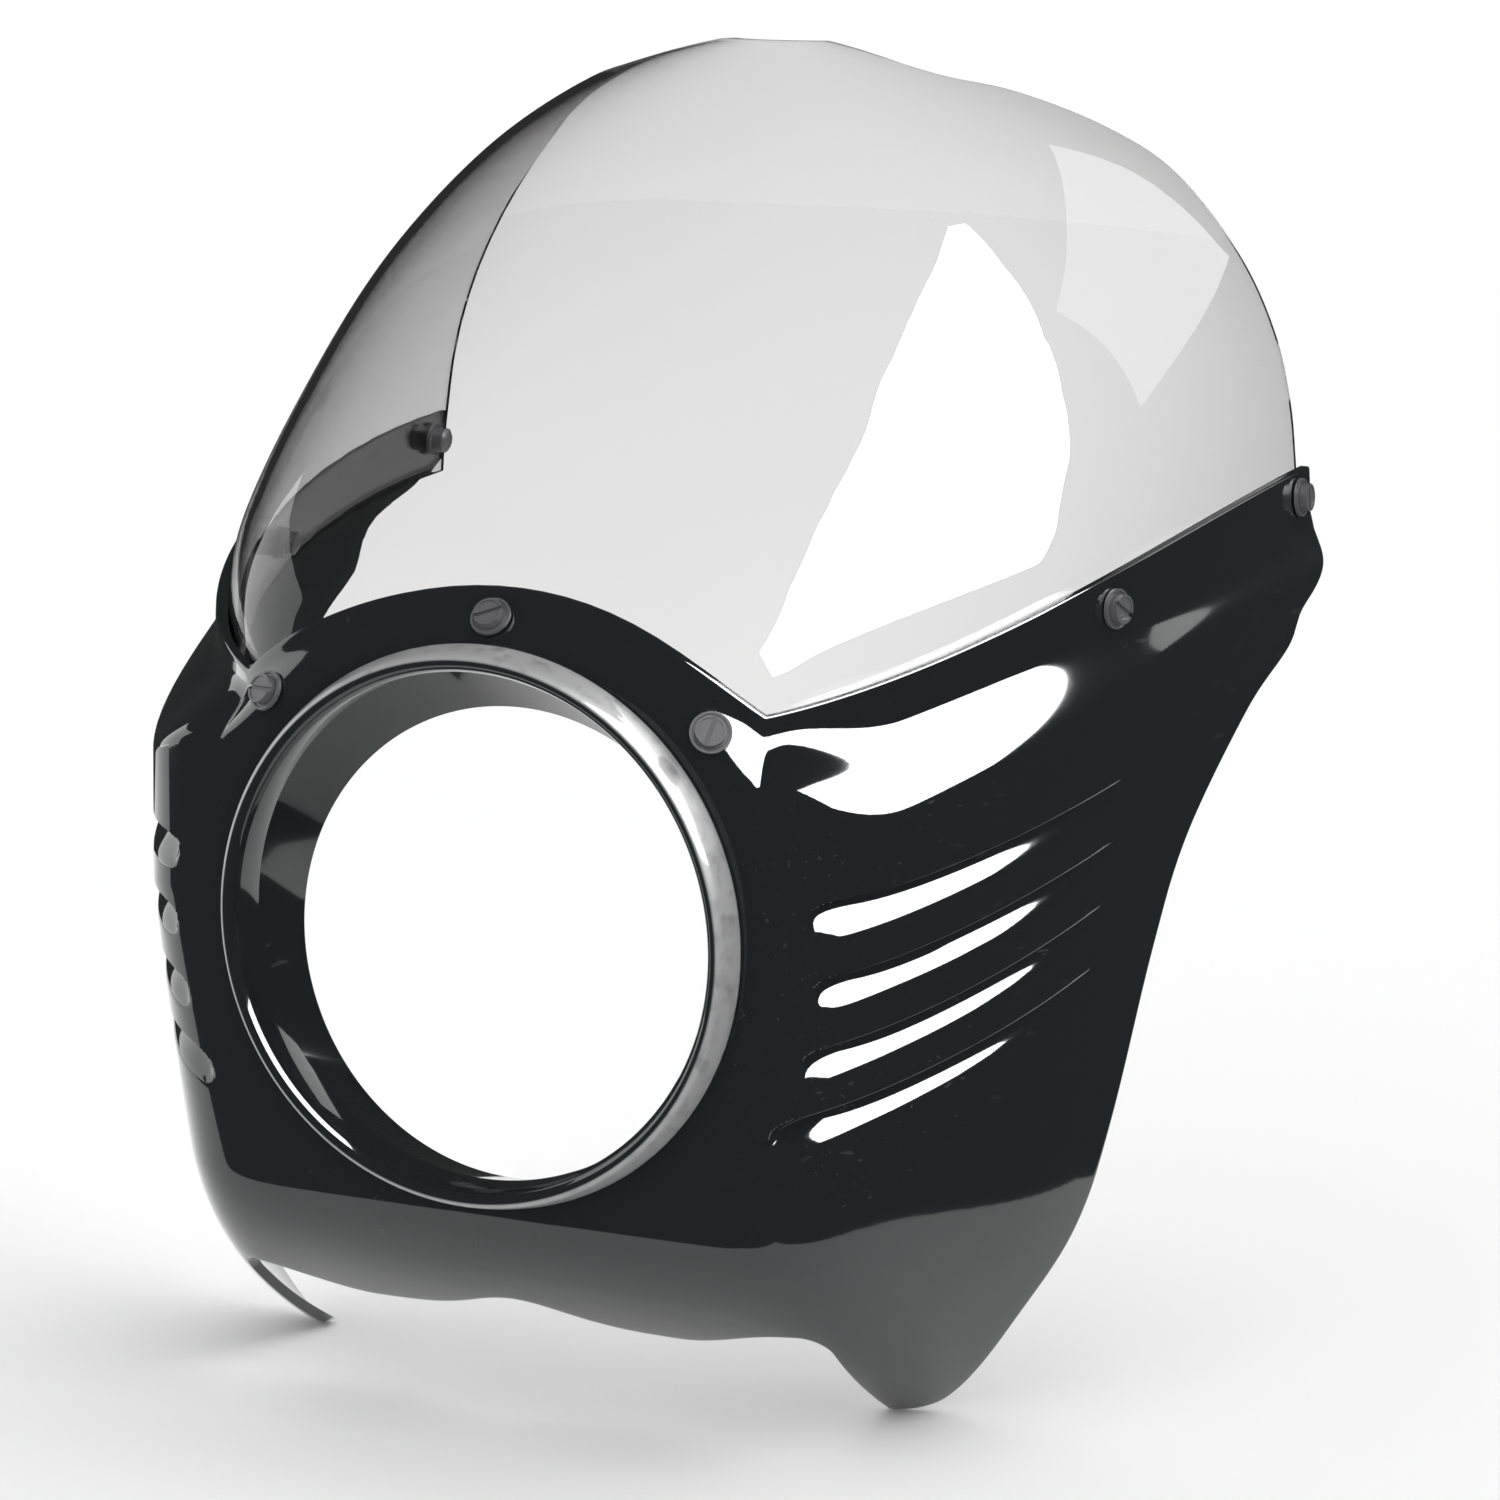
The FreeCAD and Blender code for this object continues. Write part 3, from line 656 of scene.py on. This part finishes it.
# %% Surround
white_wall = 1.04
dark_wall = 0.03
room = bpy.data.worlds.new("studio_room")
bpy.context.scene.world = room
room.use_nodes = True
wall = room.node_tree.nodes["Background"]
wall.inputs["Color"].default_value = (1.0, 1.0, 1.0, 1.0)
ray = room.node_tree.nodes.new("ShaderNodeLightPath")
brightness = room.node_tree.nodes.new("ShaderNodeMapRange")
brightness.inputs["To Min"].default_value = white_wall
brightness.inputs["To Max"].default_value = dark_wall
seen = room.node_tree.nodes.new("ShaderNodeMath")
seen.operation = "MAXIMUM"
room.node_tree.links.new(ray.outputs["Is Glossy Ray"], seen.inputs[0])
room.node_tree.links.new(ray.outputs["Is Transmission Ray"], seen.inputs[1])
mirrored_room = room.node_tree.nodes.new("ShaderNodeMath")
mirrored_room.operation = "MULTIPLY"
mirrored_room.use_clamp = True
room.node_tree.links.new(ray.outputs["Glossy Depth"], mirrored_room.inputs[0])
room.node_tree.links.new(seen.outputs["Value"], mirrored_room.inputs[1])
room.node_tree.links.new(mirrored_room.outputs["Value"], brightness.inputs["Value"])
room.node_tree.links.new(brightness.outputs["Result"], wall.inputs["Strength"])
bpy.context.scene.view_settings.view_transform = "Standard"
print("room is", white_wall, "bright, and", dark_wall, "in reflections")


# %% [markdown]
# ## Soft boxes
# The long white shapes on the part are reflections of one large lamp to the right. On the screen it is
# cut to shape with black card: its upper edge falls on the curve as a straight line, its right edge as
# a bow. So the screen sees a glowing sheet with its own outline, given in metres across and up from its
# middle, and the moulding sees a plain rectangle just before it. Light linking keeps the two apart. Two
# more area lamps add the pale patch high on the screen and a little grey on the left. None of them
# light the floor, so the paper keeps its even white.


# %% Soft boxes
def soft_box(name, place, target, width, height, radiance):
    lamp = bpy.data.lights.new(name, "AREA")
    lamp.shape = "RECTANGLE"
    lamp.size = width
    lamp.size_y = height
    lamp.energy = radiance * math.pi * width * height
    box = bpy.data.objects.new(name, lamp)
    box.location = place
    box.rotation_euler = (Vector(target) - Vector(place)).to_track_quat("-Z", "Y").to_euler()
    box.visible_diffuse = False
    box.visible_transmission = False
    bpy.context.scene.collection.objects.link(box)
    return box


def cut_box(name, place, target, outline, radiance):
    aim = (Vector(target) - Vector(place)).to_track_quat("-Z", "Y").to_matrix()
    panel = flat_panel(name, [Vector(place) + aim @ Vector((u, v, 0.0)) for u, v in outline])
    glow = bpy.data.materials.new(name)
    glow.use_nodes = True
    glow.node_tree.nodes.clear()
    lamp = glow.node_tree.nodes.new("ShaderNodeEmission")
    lamp.inputs["Strength"].default_value = radiance
    surface = glow.node_tree.nodes.new("ShaderNodeOutputMaterial")
    glow.node_tree.links.new(lamp.outputs["Emission"], surface.inputs["Surface"])
    panel.data.materials.append(glow)
    panel.visible_camera = False
    panel.visible_diffuse = False
    panel.visible_transmission = False
    panel.visible_shadow = False
    return panel


def lights_only(lamp, things):
    receivers = bpy.data.collections.new(lamp.name + "_lights")
    for thing in things:
        receivers.objects.link(thing)
    lamp.light_linking.receiver_collection = receivers


part_middle = (0.1, 0.1, 0.06)
box_radiance = 20.0
fasteners = [solids[name] for name in ("screen_screws", "screen_washers", "screen_nuts")]
on_body = soft_box("box_on_body", (1.1, -0.1, 1.18), part_middle, 2.35, 1.77, box_radiance)
lights_only(on_body, [moulding] + fasteners)
on_screen = cut_box("box_on_screen", (1.12, -0.104, 1.202), part_middle, [
    (-1.36, -0.89), (1.38, -0.89), (1.38, -0.62), (1.28, -0.38), (1.06, -0.1), (0.92, 0.17), (0.84, 0.6),
    (0.77, 0.92), (0.69, 0.976), (0.542, 0.886), (0.398, 0.81), (0.287, 0.74), (0.211, 0.7), (0.151, 0.705),
    (0.1, 0.735), (0.0, 0.745), (-0.194, 0.68), (-0.44, 0.52), (-0.73, 0.35), (-1.01, 0.1), (-1.36, -0.17),
], box_radiance)
lights_only(on_screen, [screen])
soft_box("rear_right", (0.85, 1.35, 1.0), part_middle, 0.9, 0.8, 1.6)
soft_box("dim_left", (-1.7, 0.0, 0.35), part_middle, 1.4, 1.2, 1.6)

# %% [markdown]
# ## Finishes
# Three finishes cover the part: gloss black moulded plastic, a clear sheet with a light smoke tint, and
# the dark satin coating of the fasteners. Fine scratches show on all of them and dust on the moulding,
# so those are node groups made once.

# %% [markdown]
# ## Fine scratches
# Wiping and polishing leave thin scratches that only show as dull lines in a highlight. Noise stretched
# far in one direction gives such lines. Two directions are laid over each other, and a coarse noise
# keeps them to some areas.


# %% Node group: fine scratches
def socketed_group(name, inputs, outputs):
    group = bpy.data.node_groups.new(name, "ShaderNodeTree")
    for label, start in inputs:
        socket = group.interface.new_socket(name=label, in_out="INPUT", socket_type="NodeSocketFloat")
        socket.default_value = start
    for label in outputs:
        group.interface.new_socket(name=label, in_out="OUTPUT", socket_type="NodeSocketFloat")
    return group, group.nodes.new("NodeGroupInput"), group.nodes.new("NodeGroupOutput")


def chained(tree, kind, **settings):
    node = tree.nodes.new(kind)
    for key, value in settings.items():
        setattr(node, key, value)
    return node


def scratch_group():
    group, given, result = socketed_group(
        "fine_scratches", [("Density", 0.5), ("Scale", 1.0)], ["Scratches"])
    link = group.links.new
    place = chained(group, "ShaderNodeTexCoord")
    total = None
    for angle, stretch in ((0.5, 60.0), (2.2, 50.0)):
        mapping = chained(group, "ShaderNodeMapping")
        mapping.inputs["Rotation"].default_value = (angle, 0.7 * angle, 1.3 * angle)
        mapping.inputs["Scale"].default_value = (stretch * 4.0, stretch / 4.0, stretch * 4.0)
        noise = chained(group, "ShaderNodeTexNoise")
        noise.inputs["Detail"].default_value = 2.0
        link(place.outputs["Object"], mapping.inputs["Vector"])
        link(mapping.outputs["Vector"], noise.inputs["Vector"])
        link(given.outputs["Scale"], noise.inputs["Scale"])
        thin = chained(group, "ShaderNodeMapRange")
        thin.inputs["From Min"].default_value = 0.69
        thin.inputs["From Max"].default_value = 0.75
        link(noise.outputs["Fac"], thin.inputs["Value"])
        if total is None:
            total = thin.outputs["Result"]
        else:
            both = chained(group, "ShaderNodeMath", operation="MAXIMUM")
            link(total, both.inputs[0])
            link(thin.outputs["Result"], both.inputs[1])
            total = both.outputs["Value"]
    patch = chained(group, "ShaderNodeTexNoise")
    patch.inputs["Scale"].default_value = 14.0
    patch.inputs["Detail"].default_value = 0.0
    link(place.outputs["Object"], patch.inputs["Vector"])
    gate = chained(group, "ShaderNodeMapRange")
    gate.inputs["From Min"].default_value = 0.42
    gate.inputs["From Max"].default_value = 0.68
    link(patch.outputs["Fac"], gate.inputs["Value"])
    some = chained(group, "ShaderNodeMath", operation="MULTIPLY")
    link(total, some.inputs[0])
    link(gate.outputs["Result"], some.inputs[1])
    scaled = chained(group, "ShaderNodeMath", operation="MULTIPLY")
    link(some.outputs["Value"], scaled.inputs[0])
    link(given.outputs["Density"], scaled.inputs[1])
    link(scaled.outputs["Value"], result.inputs["Scratches"])
    return group


scratches = scratch_group()
print("group made:", scratches.name)


# %% [markdown]
# ## Dust specks
# A few specks of dust lie on gloss plastic even in a studio. Cells of a Voronoi pattern give round
# dots, and a random value for each cell keeps only a tenth of them.


# %% Node group: dust specks
def dust_group():
    group, given, result = socketed_group("dust_specks", [("Amount", 0.5), ("Scale", 900.0)], ["Dust"])
    link = group.links.new
    place = chained(group, "ShaderNodeTexCoord")
    cells = chained(group, "ShaderNodeTexVoronoi")
    link(place.outputs["Object"], cells.inputs["Vector"])
    link(given.outputs["Scale"], cells.inputs["Scale"])
    speck = chained(group, "ShaderNodeMapRange")
    speck.inputs["From Min"].default_value = 0.2
    speck.inputs["From Max"].default_value = 0.12
    link(cells.outputs["Distance"], speck.inputs["Value"])
    rare = chained(group, "ShaderNodeSeparateColor")
    link(cells.outputs["Color"], rare.inputs["Color"])
    chosen = chained(group, "ShaderNodeMapRange")
    chosen.inputs["From Min"].default_value = 0.86
    chosen.inputs["From Max"].default_value = 0.9
    link(rare.outputs["Red"], chosen.inputs["Value"])
    both = chained(group, "ShaderNodeMath", operation="MULTIPLY")
    link(speck.outputs["Result"], both.inputs[0])
    link(chosen.outputs["Result"], both.inputs[1])
    scaled = chained(group, "ShaderNodeMath", operation="MULTIPLY")
    link(both.outputs["Value"], scaled.inputs[0])
    link(given.outputs["Amount"], scaled.inputs[1])
    link(scaled.outputs["Value"], result.inputs["Dust"])
    return group


dust = dust_group()
print("group made:", dust.name)


# %% [markdown]
# ## Building finishes
# Every finish starts from the same shader, places the groups with its own values and spreads a mask
# between two numbers. Three small helpers save writing that out each time.


# %% Helpers for finishes
def fresh(name):
    material = bpy.data.materials.new(name)
    material.use_nodes = True
    return material, material.node_tree, material.node_tree.nodes["Principled BSDF"]


def placed(tree, group, **values):
    node = tree.nodes.new("ShaderNodeGroup")
    node.node_tree = group
    for label, value in values.items():
        node.inputs[label].default_value = value
    return node


def ranged(tree, source, low, high):
    node = tree.nodes.new("ShaderNodeMapRange")
    node.inputs["To Min"].default_value = low
    node.inputs["To Max"].default_value = high
    tree.links.new(source, node.inputs["Value"])
    return node.outputs["Result"]


print("helpers ready:", fresh.__name__, placed.__name__, ranged.__name__)

# %% [markdown]
# ## The painted reflection band on the rim
# The outer flank of the lamp rim shows a light grey band all round. It is a painted reflection: a pale
# colour standing in for the bright surroundings that the rim would reflect. It could be a ring of its own,
# but on the real object it is the same moulding, so it is a mask: close to the lamp's axis by distance,
# and no deeper than the rim stands out. A little noise keeps the painted band uneven.


# %% Painted reflection band on the rim
# Mask for the painted reflection: a pale grey band on the rim flank standing in for reflected surroundings.
def painted_rim_reflection_mask(tree):
    place = tree.nodes.new("ShaderNodeTexCoord")
    parts = tree.nodes.new("ShaderNodeSeparateXYZ")
    tree.links.new(place.outputs["Object"], parts.inputs["Vector"])
    flat = tree.nodes.new("ShaderNodeCombineXYZ")
    tree.links.new(parts.outputs["X"], flat.inputs["X"])
    tree.links.new(parts.outputs["Z"], flat.inputs["Y"])
    radius = tree.nodes.new("ShaderNodeVectorMath")
    radius.operation = "LENGTH"
    tree.links.new(flat.outputs["Vector"], radius.inputs[0])
    mask = None
    for source, start, full in (
        (radius.outputs["Value"], 0.0943, 0.0950),
        (radius.outputs["Value"], 0.0990, 0.0987),
        (parts.outputs["Y"], 0.0076, 0.0070),
    ):
        step = tree.nodes.new("ShaderNodeMapRange")
        step.inputs["From Min"].default_value = start
        step.inputs["From Max"].default_value = full
        tree.links.new(source, step.inputs["Value"])
        if mask is None:
            mask = step.outputs["Result"]
        else:
            both = tree.nodes.new("ShaderNodeMath")
            both.operation = "MULTIPLY"
            tree.links.new(mask, both.inputs[0])
            tree.links.new(step.outputs["Result"], both.inputs[1])
            mask = both.outputs["Value"]
    uneven = tree.nodes.new("ShaderNodeTexNoise")
    uneven.inputs["Scale"].default_value = 160.0
    tree.links.new(place.outputs["Object"], uneven.inputs["Vector"])
    patchy = tree.nodes.new("ShaderNodeMapRange")
    patchy.inputs["From Min"].default_value = 0.25
    patchy.inputs["From Max"].default_value = 0.5
    patchy.inputs["To Min"].default_value = 0.7
    tree.links.new(uneven.outputs["Fac"], patchy.inputs["Value"])
    # Painted reflection band, made uneven by the noise.
    painted_band_mask = tree.nodes.new("ShaderNodeMath")
    painted_band_mask.operation = "MULTIPLY"
    tree.links.new(mask, painted_band_mask.inputs[0])
    tree.links.new(patchy.outputs["Result"], painted_band_mask.inputs[1])
    return painted_band_mask.outputs["Value"]


print("band from 94.3 to 99.0 mm around the lamp's axis")

# %% [markdown]
# ## Gloss black plastic
# The moulding is black right through, so it needs only a very dark, faintly blue base under a clear
# gloss. Scratches and dust make it lighter and duller, the dust stands up a little, and the painted
# reflection, a pale grey band on the rim, goes over both and is duller too.

# %% Gloss black plastic
gloss_black, tree, shader = fresh("gloss_black_plastic")
marks = placed(tree, scratches, Density=0.3, Scale=1.6)
specks = placed(tree, dust, Amount=0.25, Scale=1100.0)
worn = tree.nodes.new("ShaderNodeMath")
worn.operation = "MAXIMUM"
tree.links.new(marks.outputs["Scratches"], worn.inputs[0])
tree.links.new(specks.outputs["Dust"], worn.inputs[1])
tint = tree.nodes.new("ShaderNodeMix")
tint.data_type = "RGBA"
tint.inputs["A"].default_value = (0.0145, 0.0165, 0.0175, 1.0)
tint.inputs["B"].default_value = (0.09, 0.09, 0.09, 1.0)
tree.links.new(worn.outputs["Value"], tint.inputs["Factor"])
flank = painted_rim_reflection_mask(tree)
# Painted reflection: the rim flank's base colour is mixed to pale grey under the mask.
rim_reflection_paint = tree.nodes.new("ShaderNodeMix")
rim_reflection_paint.data_type = "RGBA"
rim_reflection_paint.inputs["B"].default_value = (0.33, 0.33, 0.335, 1.0)
tree.links.new(flank, rim_reflection_paint.inputs["Factor"])
tree.links.new(tint.outputs["Result"], rim_reflection_paint.inputs["A"])
tree.links.new(rim_reflection_paint.outputs["Result"], shader.inputs["Base Color"])
dull = tree.nodes.new("ShaderNodeMath")
dull.operation = "MAXIMUM"
tree.links.new(worn.outputs["Value"], dull.inputs[0])
tree.links.new(flank, dull.inputs[1])
tree.links.new(ranged(tree, dull.outputs["Value"], 0.07, 0.42), shader.inputs["Roughness"])
relief = tree.nodes.new("ShaderNodeBump")
relief.inputs["Strength"].default_value = 0.1
relief.inputs["Distance"].default_value = 0.00003
tree.links.new(specks.outputs["Dust"], relief.inputs["Height"])
tree.links.new(relief.outputs["Normal"], shader.inputs["Normal"])
shader.inputs["IOR"].default_value = 1.52
shader.inputs["Coat Weight"].default_value = 0.6
shader.inputs["Coat Roughness"].default_value = 0.03
print("finish made:", gloss_black.name)

# %% [markdown]
# ## Smoke tinted sheet
# The screen lets nearly all light through where we look straight at it. Where it turns away the light
# passes through more of the sheet, so a facing value makes the tint deeper there. Scratches only blur
# it slightly.

# %% Smoke tinted sheet
smoke_clear, tree, shader = fresh("smoke_clear_sheet")
slant = tree.nodes.new("ShaderNodeLayerWeight")
slant.inputs["Blend"].default_value = 0.35
smoke = tree.nodes.new("ShaderNodeMix")
smoke.data_type = "RGBA"
smoke.inputs["A"].default_value = (0.88, 0.875, 0.875, 1.0)
smoke.inputs["B"].default_value = (0.5, 0.495, 0.5, 1.0)
tree.links.new(slant.outputs["Facing"], smoke.inputs["Factor"])
tree.links.new(smoke.outputs["Result"], shader.inputs["Base Color"])
shader.inputs["Transmission Weight"].default_value = 1.0
shader.inputs["IOR"].default_value = 1.49
marks = placed(tree, scratches, Density=0.5, Scale=1.0)
tree.links.new(ranged(tree, marks.outputs["Scratches"], 0.01, 0.12), shader.inputs["Roughness"])
print("finish made:", smoke_clear.name)

# %% [markdown]
# ## Dark satin coating
# Screws, washers and nuts have a thin dark coating that is rubbed through in fine lines. A coating
# hides the metal beneath, so the finish is not metallic: a dark grey with a soft sheen shows the slots
# and rims better than bare metal.

# %% Dark satin metal
dark_satin, tree, shader = fresh("dark_satin_metal")
marks = placed(tree, scratches, Density=1.0, Scale=3.0)
tint = tree.nodes.new("ShaderNodeMix")
tint.data_type = "RGBA"
tint.inputs["A"].default_value = (0.11, 0.11, 0.115, 1.0)
tint.inputs["B"].default_value = (0.4, 0.4, 0.4, 1.0)
tree.links.new(marks.outputs["Scratches"], tint.inputs["Factor"])
tree.links.new(tint.outputs["Result"], shader.inputs["Base Color"])
tree.links.new(ranged(tree, marks.outputs["Scratches"], 0.28, 0.5), shader.inputs["Roughness"])
shader.inputs["Metallic"].default_value = 0.0
shader.inputs["Specular IOR Level"].default_value = 0.3
print("finish made:", dark_satin.name)

# %% [markdown]
# ## Putting the finishes on
# The two fine sheets take the places of their solids, ride with the part and receive a finish in a
# material slot of their own. The fasteners are shown as the solids themselves and only receive a finish.

# %% Put the finishes on
for piece, node, finish, slot in (
    (moulding, "fairing_body", gloss_black, "body_plastic"),
    (screen, "windscreen", smoke_clear, "screen_clear"),
):
    piece.data.materials.clear()
    piece.data.materials.append(finish)
    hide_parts(node)
    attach(piece, "root")
for name in ("screen_screws", "screen_washers", "screen_nuts"):
    solids[name].data.materials.clear()
    solids[name].data.materials.append(dark_satin)
print("finishes put on", len(solids), "solids")
